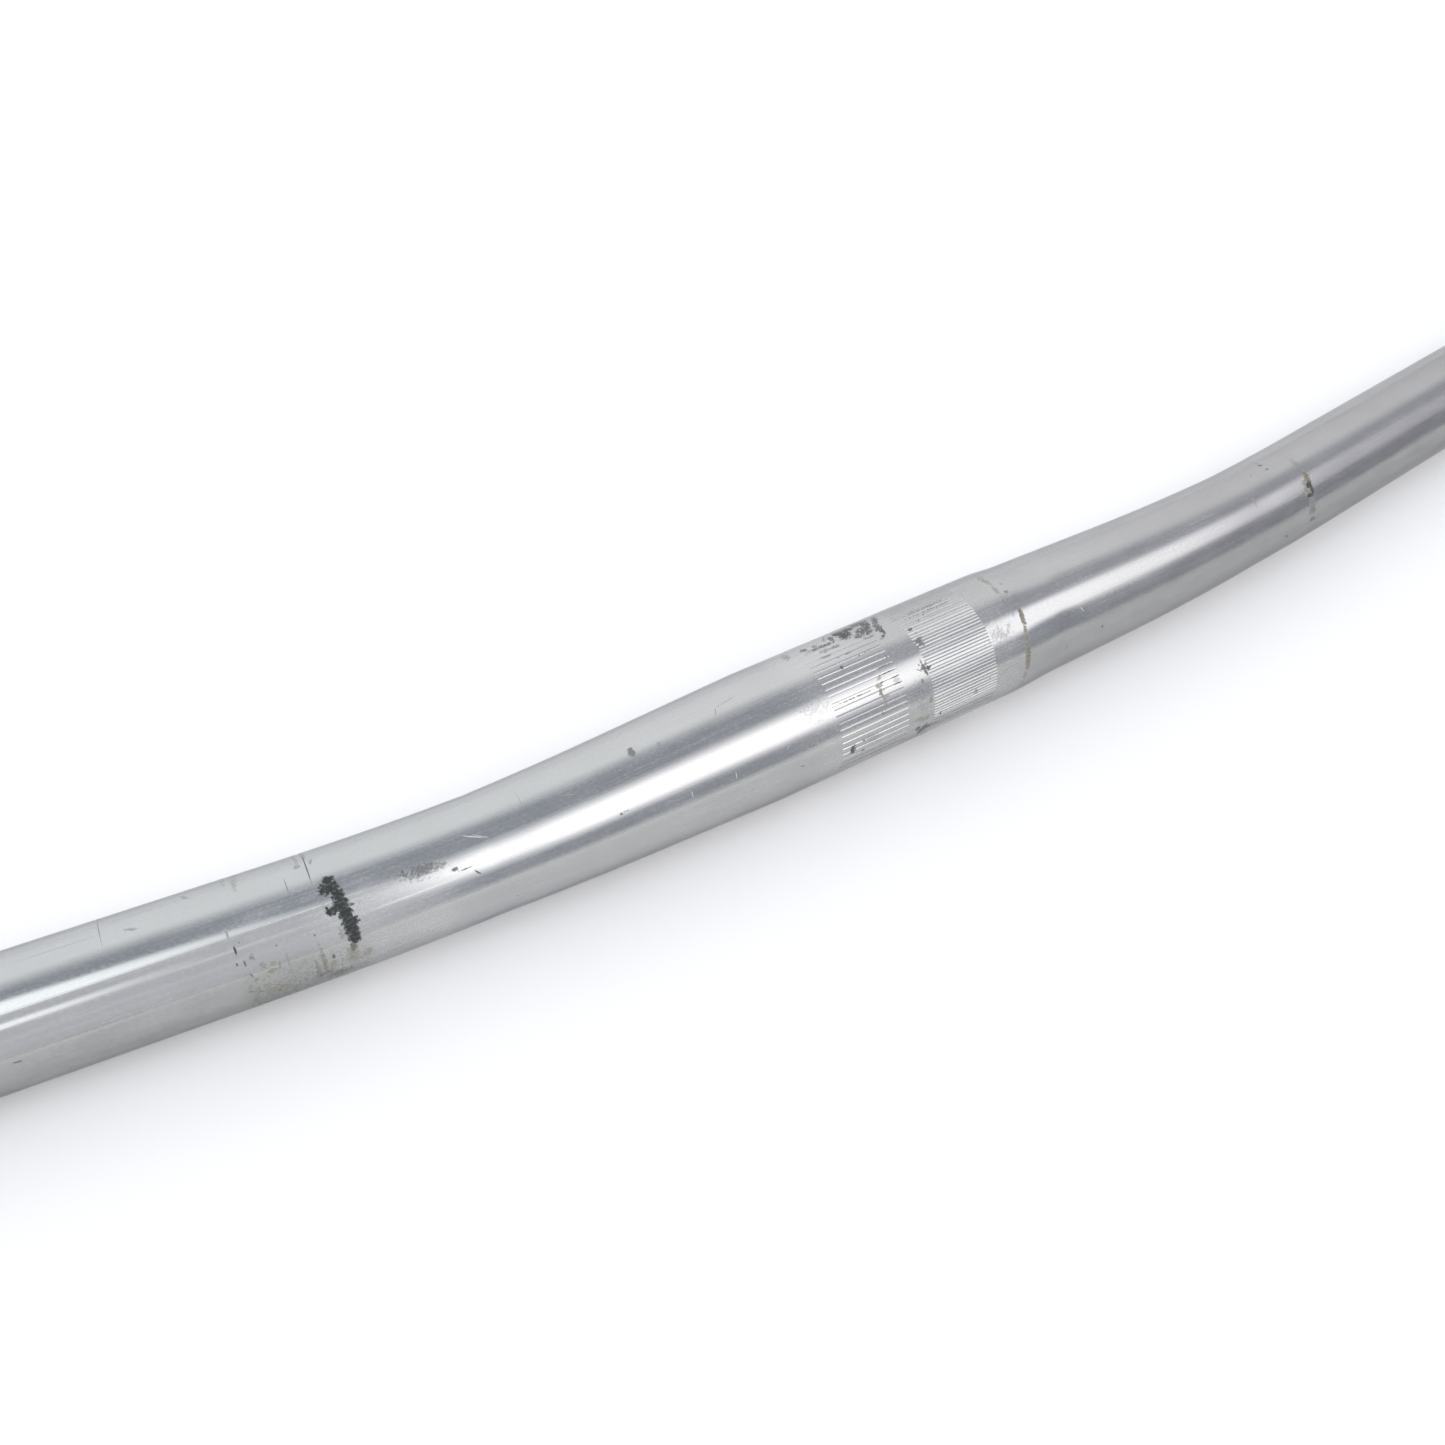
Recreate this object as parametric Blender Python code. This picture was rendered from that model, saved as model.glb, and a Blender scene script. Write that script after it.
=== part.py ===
"""Flat handlebar for a bicycle: one butted aluminium tube, knurled at the clamp and swept back at both grips.

Lengths are in metres and +Z is up. The origin is the middle of the clamp, on the axis of the tube.
The tube runs along X and its ends sweep back towards +Y. It lies the way it comes to rest, so the
clamp and both ends touch one level surface.
"""
import math

import bmesh
import bpy
from mathutils import Matrix, Vector

# The whole bar
OVERALL_WIDTH = 0.560
CLAMP_DIAMETER = 0.0260
GRIP_DIAMETER = 0.0222
CLAMP_WALL = 0.0026
GRIP_WALL = 0.0019
END_CHAMFER = 0.0004

# The bend on each side, measured along the axis from the middle of the clamp
SWEEP_ANGLE = math.radians(6.2)
BEND_START = 0.060
BEND_LENGTH = 0.064

# The right side steps down from the clamp and then runs out as a long cone
SHOULDER_START = 0.0276
SHOULDER_LENGTH = 0.0070
SHOULDER_DROP = 0.0005
RIGHT_CONE_LENGTH = 0.065

# The left side runs out as one steeper cone
LEFT_CONE_START = 0.0304
LEFT_CONE_LENGTH = 0.057

# The two knurled bands of straight grooves, a coarse one on the left and a fine one on the right
BAND_GAP = 0.0062
BAND_LENGTH = 0.0158
COARSE_PER_FACET = 1
FINE_PER_FACET = 2
GROOVE_WIDTH = 0.00030
GROOVE_DEPTH = 0.00014

# How finely the curved faces are divided
FACETS = 60
BEND_STEPS = 8
SHOULDER_STEPS = 5
GRIP_STEPS = 3

CLAMP_RADIUS = CLAMP_DIAMETER / 2
GRIP_RADIUS = GRIP_DIAMETER / 2
CLAMP_BORE = CLAMP_RADIUS - CLAMP_WALL
GRIP_BORE = GRIP_RADIUS - GRIP_WALL
SHOULDER_END = SHOULDER_START + SHOULDER_LENGTH
RIGHT_CONE_END = SHOULDER_END + RIGHT_CONE_LENGTH
LEFT_CONE_END = LEFT_CONE_START + LEFT_CONE_LENGTH
BAND_INNER = BAND_GAP / 2
BAND_OUTER = BAND_INNER + BAND_LENGTH
BEND_END = BEND_START + BEND_LENGTH
BEND_RADIUS = BEND_LENGTH / SWEEP_ANGLE

# The straight grip is as long as the overall width leaves it
END_ACROSS = OVERALL_WIDTH / 2 - (GRIP_RADIUS - END_CHAMFER) * math.sin(SWEEP_ANGLE)
BEND_ACROSS = BEND_START + BEND_RADIUS * math.sin(SWEEP_ANGLE)
GRIP_LENGTH = (END_ACROSS - BEND_ACROSS) / math.cos(SWEEP_ANGLE)
HALF_LENGTH = BEND_END + GRIP_LENGTH


def axis_at(station):
    """How far across and back the axis is at a station, and the angle it has turned by."""
    run = abs(station)
    angle = min(max(run - BEND_START, 0.0), BEND_LENGTH) / BEND_RADIUS
    straight = max(run - BEND_END, 0.0)
    across = min(run, BEND_START) + BEND_RADIUS * math.sin(angle) + straight * math.cos(angle)
    back = BEND_RADIUS * (1 - math.cos(angle)) + straight * math.sin(angle)
    side = math.copysign(1.0, station)
    return side * across, back, side * angle


def rest_roll():
    """The angle the bar rolls by until its thinner ends touch the surface that the clamp lies on."""
    end_back = axis_at(HALF_LENGTH - END_CHAMFER)[1]
    return math.atan2(CLAMP_RADIUS - GRIP_RADIUS, end_back)


def between(station, profile):
    """The radius at a station, from straight runs between the profile's points."""
    for (start, first), (end, last) in zip(profile, profile[1:]):
        if station <= end:
            share = max(station - start, 0.0) / (end - start)
            return first + (last - first) * share
    return profile[-1][1]


def shoulder_profile():
    """Points on the soft step at the right of the clamp, which starts and ends level."""
    points = []
    for step in range(SHOULDER_STEPS + 1):
        share = step / SHOULDER_STEPS
        drop = SHOULDER_DROP * (1 - math.cos(math.pi * share)) / 2
        points.append((SHOULDER_START + SHOULDER_LENGTH * share, CLAMP_RADIUS - drop))
    return points


RIGHT_OUTSIDE = [(0.0, CLAMP_RADIUS)] + shoulder_profile() + [(RIGHT_CONE_END, GRIP_RADIUS)]
LEFT_OUTSIDE = [(0.0, CLAMP_RADIUS), (LEFT_CONE_START, CLAMP_RADIUS), (LEFT_CONE_END, GRIP_RADIUS)]
RIGHT_BORE = [(0.0, CLAMP_BORE), (SHOULDER_END, CLAMP_BORE), (RIGHT_CONE_END, GRIP_BORE)]
LEFT_BORE = [(0.0, CLAMP_BORE), (LEFT_CONE_START, CLAMP_BORE), (LEFT_CONE_END, GRIP_BORE)]


def outside_radius(station):
    """The outside radius of the tube at a station."""
    return between(abs(station), RIGHT_OUTSIDE if station > 0 else LEFT_OUTSIDE)


def bore_radius(station):
    """The radius of the bore at a station."""
    return between(abs(station), RIGHT_BORE if station > 0 else LEFT_BORE)


def spaced(start, end, steps):
    """Evenly spaced stations from start to end, both included."""
    return [start + (end - start) * step / steps for step in range(steps + 1)]


def side_stations(profile, steps):
    """Stations on one side of the bar: where its radius changes, around its bend and along its grip."""
    stations = [station for station, radius in profile if station > 0]
    stations += spaced(BEND_START, BEND_END, steps)
    stations += spaced(BEND_END, HALF_LENGTH - END_CHAMFER, GRIP_STEPS)
    return stations


def merged(stations):
    """The stations in order, without those that lie closer together than a fine chamfer."""
    kept = []
    for station in sorted(stations):
        if not kept or station - kept[-1] > END_CHAMFER:
            kept.append(station)
    return kept


def outside_stations():
    """Every station of the outside, with none inside a knurled band."""
    right = side_stations(RIGHT_OUTSIDE, BEND_STEPS)
    left = side_stations(LEFT_OUTSIDE, BEND_STEPS)
    right = [station for station in right if station > BAND_OUTER + END_CHAMFER]
    left = [station for station in left if station > BAND_OUTER + END_CHAMFER]
    bands = [BAND_INNER, BAND_OUTER]
    return [-s for s in reversed(merged(bands + left))] + merged(bands + right)


def bore_stations():
    """Every station of the bore, which needs fewer steps around each bend."""
    right = merged(side_stations(RIGHT_BORE, BEND_STEPS // 2))
    left = merged(side_stations(LEFT_BORE, BEND_STEPS // 2))
    return [-s for s in reversed(left)] + right


def add_ring(bm, station, radius):
    """A ring of points square to the axis at a station."""
    across, back, angle = axis_at(station)
    centre = Vector((across, back, 0.0))
    outward = Vector((-math.sin(angle), math.cos(angle), 0.0))
    upward = Vector((0.0, 0.0, 1.0))
    ring = []
    for facet in range(FACETS):
        turn = 2 * math.pi * facet / FACETS
        offset = outward * math.cos(turn) + upward * math.sin(turn)
        ring.append(bm.verts.new(centre + offset * radius))
    return ring


def join_rings(bm, first, second):
    """The row of faces between two rings."""
    row = []
    for facet in range(FACETS):
        after = (facet + 1) % FACETS
        corners = (first[facet], first[after], second[after], second[facet])
        row.append(bm.faces.new(corners))
    return row


def groove_lips(per_facet, width):
    """Where the lips of the grooves lie across one facet, as shares of its width."""
    half = GROOVE_WIDTH / width / 2
    lips = []
    for groove in range(per_facet):
        middle = (groove + 0.5) / per_facet
        lips += [middle - half, middle + half]
    return lips


def split_edge(bm, start, end, lips):
    """New points on the edge from start to end, in order."""
    points = []
    done = 0.0
    here = start
    for lip in lips:
        edge = bm.edges.get((here, end))
        share = (lip - done) / (1 - done)
        point = bmesh.utils.edge_split(edge, here, share)[1]
        points.append(point)
        here = point
        done = lip
    return points


def sink_groove(bm, first, second, axis_a, axis_b):
    """A groove with a V section between two lips, each given by its points at both ends of the band."""
    strip = bm.faces.get((first[0], second[0], second[1], first[1]))
    bm.faces.remove(strip)
    floor = []
    for end, axis in ((0, axis_a), (1, axis_b)):
        middle = (first[end].co + second[end].co) / 2
        floor.append(bm.verts.new(middle + (axis - middle).normalized() * GROOVE_DEPTH))
    bm.faces.new((first[0], floor[0], floor[1], first[1]))
    bm.faces.new((floor[0], second[0], second[1], floor[1]))
    bm.faces.new((first[0], second[0], floor[0]))
    bm.faces.new((floor[1], second[1], first[1]))


def groove_facet(bm, face, left, right, per_facet, axes):
    """The grooves along one facet of a band. Left and right are the facet's points at each end."""
    lips = groove_lips(per_facet, (left[1].co - left[0].co).length)
    near = split_edge(bm, left[0], left[1], lips)
    far = split_edge(bm, right[0], right[1], lips)
    rest = face
    for a, b in zip(near, far):
        halves = {rest, bmesh.utils.face_split(rest, a, b)[0]}
        rest = next(half for half in halves if left[1] in half.verts)
    for groove in range(per_facet):
        first = (near[2 * groove], far[2 * groove])
        second = (near[2 * groove + 1], far[2 * groove + 1])
        sink_groove(bm, first, second, axes[0], axes[1])


def knurl_band(bm, left_ring, right_ring, row, left_station, right_station, per_facet):
    """Straight grooves all round between two rings."""
    axes = [Vector((axis_at(s)[0], axis_at(s)[1], 0.0)) for s in (left_station, right_station)]
    for facet in range(FACETS):
        after = (facet + 1) % FACETS
        left = (left_ring[facet], left_ring[after])
        right = (right_ring[facet], right_ring[after])
        groove_facet(bm, row[facet], left, right, per_facet, axes)


def outside_rings(bm):
    """The outside of the tube from the left end to the right end. Gives the two end rings."""
    stations = outside_stations()
    rings = [add_ring(bm, s, outside_radius(s)) for s in stations]
    rows = [join_rings(bm, a, b) for a, b in zip(rings, rings[1:])]
    for start, end, per_facet in ((-BAND_OUTER, -BAND_INNER, COARSE_PER_FACET),
                                  (BAND_INNER, BAND_OUTER, FINE_PER_FACET)):
        place = stations.index(start)
        knurl_band(bm, rings[place], rings[place + 1], rows[place], start, end, per_facet)
    return rings[0], rings[-1]


def bore_rings(bm):
    """The bore from the left end to the right end. Gives the two end rings."""
    stations = bore_stations()
    rings = [add_ring(bm, s, bore_radius(s)) for s in stations]
    for a, b in zip(rings, rings[1:]):
        join_rings(bm, b, a)
    return rings[0], rings[-1]


def close_end(bm, side, outside, bore):
    """The chamfered end face of the tube between the outside and the bore."""
    end = side * HALF_LENGTH
    outer = add_ring(bm, end, GRIP_RADIUS - END_CHAMFER)
    inner = add_ring(bm, end, GRIP_BORE + END_CHAMFER)
    rings = [outside, outer, inner, bore]
    if side < 0:
        rings.reverse()
    for a, b in zip(rings, rings[1:]):
        join_rings(bm, a, b)


def aluminium():
    """Old polished aluminium with a slight haze."""
    material = bpy.data.materials.new("polished_aluminium")
    material.use_nodes = True
    shader = material.node_tree.nodes["Principled BSDF"]
    shader.inputs["Base Color"].default_value = (0.72, 0.72, 0.74, 1.0)
    shader.inputs["Metallic"].default_value = 1.0
    shader.inputs["Roughness"].default_value = 0.24
    return material


def handlebar():
    """The bar as one closed tube, rolled back to the way it rests."""
    bm = bmesh.new()
    outside = outside_rings(bm)
    bore = bore_rings(bm)
    close_end(bm, -1.0, outside[0], bore[0])
    close_end(bm, 1.0, outside[1], bore[1])
    bmesh.ops.recalc_face_normals(bm, faces=bm.faces)
    bm.transform(Matrix.Rotation(-rest_roll(), 4, "X"))
    mesh = bpy.data.meshes.new("handlebar")
    bm.to_mesh(mesh)
    bm.free()
    mesh.materials.append(aluminium())
    mesh.shade_smooth()
    mesh.set_sharp_from_angle(angle=math.radians(30))
    bar = bpy.data.objects.new("handlebar", mesh)
    bpy.context.scene.collection.objects.link(bar)
    return bar


for old in list(bpy.data.objects):
    bpy.data.objects.remove(old, do_unlink=True)
handlebar()
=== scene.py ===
"""The flat handlebar as the photograph shows it: worn polished aluminium on a white floor.

Lengths are in metres and +Z is up. A place on the tube is given by its station, the distance along the
axis from the middle of the clamp, and by its turn, the angle round the axis from the back over the top.
"""
import math

import bpy
import numpy as np
from mathutils import Matrix


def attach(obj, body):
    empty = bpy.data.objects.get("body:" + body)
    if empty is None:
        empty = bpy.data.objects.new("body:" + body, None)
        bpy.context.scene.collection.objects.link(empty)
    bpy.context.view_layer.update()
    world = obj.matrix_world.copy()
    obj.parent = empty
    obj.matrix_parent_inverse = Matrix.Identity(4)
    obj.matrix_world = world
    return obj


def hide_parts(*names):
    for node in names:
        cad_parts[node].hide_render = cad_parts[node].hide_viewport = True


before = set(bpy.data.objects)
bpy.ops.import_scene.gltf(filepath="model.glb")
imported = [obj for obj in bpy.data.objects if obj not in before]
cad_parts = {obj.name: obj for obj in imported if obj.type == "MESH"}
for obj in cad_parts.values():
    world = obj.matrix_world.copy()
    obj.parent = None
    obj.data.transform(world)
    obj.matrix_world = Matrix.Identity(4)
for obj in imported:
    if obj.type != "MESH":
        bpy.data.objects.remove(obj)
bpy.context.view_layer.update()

# The tube, with the sizes of the solid. The shoulder runs a millimetre further each way
OVERALL_WIDTH = 0.560
CLAMP_RADIUS = 0.0130
GRIP_RADIUS = 0.0111
CLAMP_BORE = 0.0104
GRIP_BORE = 0.0092
END_CHAMFER = 0.0004
SWEEP = math.radians(6.2)
BEND_START = 0.060
BEND_LENGTH = 0.064
SHOULDER_START = 0.0266
SHOULDER_END = 0.0356
SHOULDER_DROP = 0.0005
# The shoulder runs this much longer at the front, which is given as a share at some turns
FRONT_RUN = 0.007
FRONT = ((70, 110, 180, 220), (0, 1, 1, 0))
RIGHT_CONE_END = 0.0996
LEFT_CONE_START = 0.0304
LEFT_CONE_END = 0.0874
BAND_INNER = 0.0031
BAND_OUTER = 0.0189

# The grooves: one of each kind in every six degrees, by the turn of its middle and the width of its wider
# wall. The left band has the coarse ones, the right band a deep and a shallow one in turn. LAND_TURN lies
# between them
PITCH = 6.0
COARSE = (4.5, 0.00020)
DEEP = (5.4, 0.00020)
SHALLOW = (2.4, 0.00016)
LAND_TURN = 0.9
# The wider wall leans towards this turn. The other is as wide near it, and steep and narrow far from it
LIT_TURN = 127
LIT_LEAN = (22, 44)
FAR_WIDTH = 0.000045
FAR_SHARE = ((10, 30), (1, 0))
# How wide the walls still are at some turns, as a share: over the top both bands are nearly worn away, and
# in the brightest reflection they are half worn
COARSE_SHARE = ((30, 34, 88, 94, 100, 106, 112, 118, 134, 143, 149, 155, 167, 173, 179, 190),
                (1.0, 0.12, 0.12, 0.25, 0.45, 0.6, 0.28, 0.26, 0.28, 0.2, 0.4, 0.75, 0.95, 0.7, 0.45, 1.0))
FINE_SHARE = ((22, 32, 70, 84, 92, 110, 116, 134, 142, 150, 157, 180, 190),
              (1.0, 0.15, 0.15, 0.5, 0.85, 0.8, 0.55, 0.55, 0.25, 0.6, 1.1, 1.1, 1.0))
KINDS = ((COARSE, COARSE_SHARE), (DEEP, FINE_SHARE), (SHALLOW, FINE_SHARE))
# The length over which a groove runs out at each end, and the least depth that counts as a groove
RUN_OUT = 0.00012
LEAST_DEPTH = 0.000001
# Other stations with a row of points: across each band, counted from its inner end, beside the bands and on
# the cones, and how far before the end of the right cone the bore has one
BAND_ROWS = (0.005, 0.010)
SINGLE_ROWS = (-0.045, -0.025, 0.0, 0.023, 0.054)
BORE_ROW = 0.012
# How many rows of points the shoulder, each bend, each grip, each bend of the bore and each edge have
SHOULDER_ROWS = 10
BEND_ROWS = 10
GRIP_ROWS = 5
BORE_BEND_ROWS = 5
EDGE_ROWS = 4

BEND_END = BEND_START + BEND_LENGTH
BEND_RADIUS = BEND_LENGTH / SWEEP
END_ACROSS = OVERALL_WIDTH / 2 - (GRIP_RADIUS - END_CHAMFER) * math.sin(SWEEP)
HALF_LENGTH = BEND_END + (END_ACROSS - BEND_START - BEND_RADIUS * math.sin(SWEEP)) / math.cos(SWEEP)
# Lengths of the tube that have a finish of their own, by their first and last station
ZONES = [
    ("left_finish", -0.300, -0.108),
    ("bend_finish", -0.108, -0.028),
    ("clamp_finish", -0.028, SHOULDER_END),
    ("right_finish", SHOULDER_END, 0.300),
]
# The part of the flat map's width that holds the outside of the tube
OUTSIDE_SHARE = 0.7
# Turns are counted from here, the underside, once round to the underside again
FIRST_TURN = -90


def axis_at(station):
    """The axis at each station: how far across and back it is, and the angle it has turned by."""
    run = np.abs(station)
    angle = np.clip(run - BEND_START, 0, BEND_LENGTH) / BEND_RADIUS
    straight = np.maximum(run - BEND_END, 0)
    across = np.minimum(run, BEND_START) + BEND_RADIUS * np.sin(angle) + straight * np.cos(angle)
    back = BEND_RADIUS * (1 - np.cos(angle)) + straight * np.sin(angle)
    side = np.where(station < 0, -1.0, 1.0)
    return side * across, back, side * angle


def rest_roll():
    """The angle the bar rolls by until its ends touch the surface that the clamp lies on."""
    end_back = axis_at(np.array([HALF_LENGTH - END_CHAMFER]))[1][0]
    return math.atan2(CLAMP_RADIUS - GRIP_RADIUS, end_back)


ROLL = rest_roll()


def outside_radius(station, turns):
    """The outside radius: level at the clamp, a soft step and a cone on the right, a cone on the left.

    The step is half a cosine wave, and it is longer at the front than over the top.
    """
    end = SHOULDER_END + FRONT_RUN * np.interp(turns, *FRONT)
    share = np.clip((station - SHOULDER_START) / (end - SHOULDER_START), 0, 1)
    right = CLAMP_RADIUS - SHOULDER_DROP * (1 - np.cos(np.pi * share)) / 2
    cone = np.clip((station - SHOULDER_END) / (RIGHT_CONE_END - SHOULDER_END), 0, 1)
    right = right - (CLAMP_RADIUS - SHOULDER_DROP - GRIP_RADIUS) * cone
    cone = np.clip((-station - LEFT_CONE_START) / (LEFT_CONE_END - LEFT_CONE_START), 0, 1)
    left = CLAMP_RADIUS - (CLAMP_RADIUS - GRIP_RADIUS) * cone
    return np.where(station > 0, right, left)


def bore_radius(station):
    """The bore's radius, which narrows along the same cones."""
    right = np.clip((station - SHOULDER_END) / (RIGHT_CONE_END - SHOULDER_END), 0, 1)
    left = np.clip((-station - LEFT_CONE_START) / (LEFT_CONE_END - LEFT_CONE_START), 0, 1)
    return CLAMP_BORE - (CLAMP_BORE - GRIP_BORE) * np.where(station > 0, right, left)


def degrees_round(length):
    """A length round the clamp as a turn in degrees."""
    return np.degrees(np.array(length) / CLAMP_RADIUS)


def groove_walls(middle, width, share):
    """The widths of both walls of a groove and its depth, from the turn of its middle.

    The lit wall leans by its distance in degrees from the lit turn, and the depth is its width times the
    tangent of that lean. The far wall goes from the same width down to its own as that distance grows.
    """
    away = np.abs(middle - LIT_TURN)
    lit = width * np.interp(middle, *share)
    far = FAR_WIDTH + (lit - FAR_WIDTH) * np.interp(away, *FAR_SHARE)
    return lit, far, lit * np.tan(np.radians(np.clip(away, *LIT_LEAN)))


def columns():
    """The turns of the columns in degrees: the middle and both edges of every groove, and one between."""
    pitches = np.arange(FIRST_TURN, FIRST_TURN + 360, PITCH)
    turns = [pitches + LAND_TURN]
    for (middle, width), share in KINDS:
        middles = pitches + middle
        lit, far = groove_walls(middles, width, share)[:2]
        side = np.where(middles < LIT_TURN, -1, 1)
        turns += [middles, middles + side * degrees_round(lit), middles - side * degrees_round(far)]
    return np.unique(np.round((np.concatenate(turns) - FIRST_TURN) % 360, 4)) + FIRST_TURN


def groove(turns, kind):
    """How deep one kind of groove is at each turn: full at its middle, in a straight line up to each edge."""
    (middle, width), share = kind
    middles = middle + PITCH * np.round((turns - middle) / PITCH)
    offset = np.radians(turns - middles) * CLAMP_RADIUS
    middles = (middles - FIRST_TURN) % 360 + FIRST_TURN
    lit, far, depth = groove_walls(middles, width, share)
    wall = np.where(offset * (middles - LIT_TURN) > 0, lit, far)
    return depth * np.maximum(1 - np.abs(offset) / wall, 0)


def groove_depths(turns):
    """How deep the left and the right band are at each turn."""
    coarse, deep, shallow = (groove(turns, kind) for kind in KINDS)
    return coarse, deep + shallow


def band_share(station, start, end):
    """One within a band and nothing outside it, rising in a straight line over the run-out at each end."""
    inside = np.minimum(station - start, end - station)
    return np.clip(inside / RUN_OUT, 0, 1)


def outside_rows():
    """The stations along the outside, close together at the bands, the shoulder and round the bends."""
    inner = BAND_INNER + np.array([-RUN_OUT, 0, RUN_OUT, *BAND_ROWS])
    outer = BAND_OUTER + np.array([-RUN_OUT, 0, RUN_OUT])
    bend = np.linspace(BEND_START, BEND_END, BEND_ROWS)
    grip = np.linspace(BEND_END, HALF_LENGTH - END_CHAMFER, GRIP_ROWS)[1:]
    both_sides = np.concatenate([inner, outer, bend, grip])
    shoulder = np.linspace(SHOULDER_START, SHOULDER_END + FRONT_RUN, SHOULDER_ROWS)
    cones = [RIGHT_CONE_END, -LEFT_CONE_START, -LEFT_CONE_END]
    seams = [end for name, start, end in ZONES[:-1]]
    rows = np.concatenate([both_sides, -both_sides, shoulder, cones, seams, SINGLE_ROWS])
    return np.unique(np.round(rows, 6))


def section_loop():
    """Once round the wall of the tube: the station and radius of each point, and how many are outside.

    It runs along the outside to the right, round that end's quarter circle and lip, back through the bore,
    and round the left end.
    """
    outside = outside_rows()
    bend = np.linspace(BEND_START, BEND_END, BORE_BEND_ROWS)
    side = np.concatenate([bend, [HALF_LENGTH - END_CHAMFER]])
    bore = np.concatenate([side[::-1], [RIGHT_CONE_END - BORE_ROW, SHOULDER_END, -LEFT_CONE_START], -side])
    bore = np.unique(np.round(bore, 6))[::-1]
    turn = np.linspace(0, np.pi / 2, EDGE_ROWS + 1)[1:]
    rise = END_CHAMFER * np.sin(turn)
    drop = END_CHAMFER * (1 - np.cos(turn))
    end = HALF_LENGTH - END_CHAMFER
    lip = END_CHAMFER * np.array([1.0, 0.7])
    lip_radius = GRIP_BORE + END_CHAMFER * np.array([1.0, 0.3])
    stations = [outside, end + rise, end + lip, bore, -end - lip[::-1], -end - rise[::-1]]
    radii = [outside_radius(outside, 0), GRIP_RADIUS - drop, lip_radius]
    radii += [bore_radius(bore), lip_radius[::-1], (GRIP_RADIUS - drop)[::-1]]
    return np.concatenate(stations), np.concatenate(radii), len(outside)


def tube_points(stations, radii, turns):
    """Points on the tube: out from the axis by the radius, at each turn, then rolled to the way it rests."""
    across, back, angle = (a[:, None] for a in axis_at(stations))
    turn = np.radians(turns)[None, :]
    out = radii * np.cos(turn)
    points = np.stack([across - np.sin(angle) * out, back + np.cos(angle) * out, radii * np.sin(turn)], -1)
    roll = np.array(Matrix.Rotation(-ROLL, 3, "X"))
    return points @ roll.T


def tube_mesh():
    """The whole wall as one closed surface, with its grooves, and a flat map of station and turn.

    A point lies out from the axis by the tube's radius less the depth of the groove that it is in. The faces
    join each row and column to the next, and the last ones to the first.
    """
    stations, radii, count = section_loop()
    turns = columns()
    grid = np.repeat(radii[:, None], len(turns), axis=1)
    rows = stations[:count, None]
    grid[:count] = outside_radius(rows, turns)
    coarse, fine = groove_depths(turns)
    grid[:count] -= coarse * band_share(rows, -BAND_OUTER, -BAND_INNER)
    grid[:count] -= fine * band_share(rows, BAND_INNER, BAND_OUTER)
    points = tube_points(stations, grid, turns)
    n, m = grid.shape
    i, j = np.meshgrid(np.arange(n), np.arange(m), indexing="ij")
    after_i, after_j = (i + 1) % n, (j + 1) % m
    quads = np.stack([i * m + j, after_i * m + j, after_i * m + after_j, i * m + after_j], -1).reshape(-1, 4)
    u = np.where(np.arange(n + 1) < count, 0.0, 1.0)
    u[:count] = (stations[:count] / (2 * HALF_LENGTH) + 0.5) * OUTSIDE_SHARE
    u[count:] = np.linspace(OUTSIDE_SHARE, 1.0, n + 1 - count)
    v = (np.append(turns, turns[0] + 360) - FIRST_TURN) / 360
    corners = ((i, j), (i + 1, j), (i + 1, j + 1), (i, j + 1))
    uv = np.stack([np.stack([u[row], v[column]], -1) for row, column in corners], 2)
    middle = (stations[:count - 1] + stations[1:count]) / 2
    slots = np.full(n, len(ZONES))
    slots[:count - 1] = np.searchsorted([end for name, start, end in ZONES], middle)
    flat = np.zeros((n, m), bool)
    for cut, start, end in ((coarse, -BAND_OUTER, -BAND_INNER), (fine, BAND_INNER, BAND_OUTER)):
        wall = (cut > LEAST_DEPTH) | (np.roll(cut, -1) > LEAST_DEPTH)
        flat[:count - 1] |= wall & ((middle > start) & (middle < end))[:, None]
    return points.reshape(-1, 3), quads, uv.reshape(-1, 2), slots.repeat(m), flat.ravel()


def mesh_object(name, points, quads, uv, slots, flat):
    """An object from a grid of points and its faces, smooth but for the walls of the grooves."""
    mesh = bpy.data.meshes.new(name)
    mesh.vertices.add(len(points))
    mesh.vertices.foreach_set("co", points.ravel())
    mesh.loops.add(quads.size)
    mesh.loops.foreach_set("vertex_index", quads.ravel())
    mesh.polygons.add(len(quads))
    mesh.polygons.foreach_set("loop_start", np.arange(0, quads.size, 4))
    mesh.polygons.foreach_set("material_index", slots.astype(np.int32))
    layer = mesh.uv_layers.new(name="place")
    layer.data.foreach_set("uv", uv.ravel())
    mesh.update(calc_edges=True)
    mesh.polygons.foreach_set("use_smooth", ~flat)
    mesh.attributes.new("wall", "FLOAT", "FACE").data.foreach_set("value", flat.astype(np.float32))
    mesh.update()
    item = bpy.data.objects.new(name, mesh)
    bpy.context.scene.collection.objects.link(item)
    return item


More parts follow.
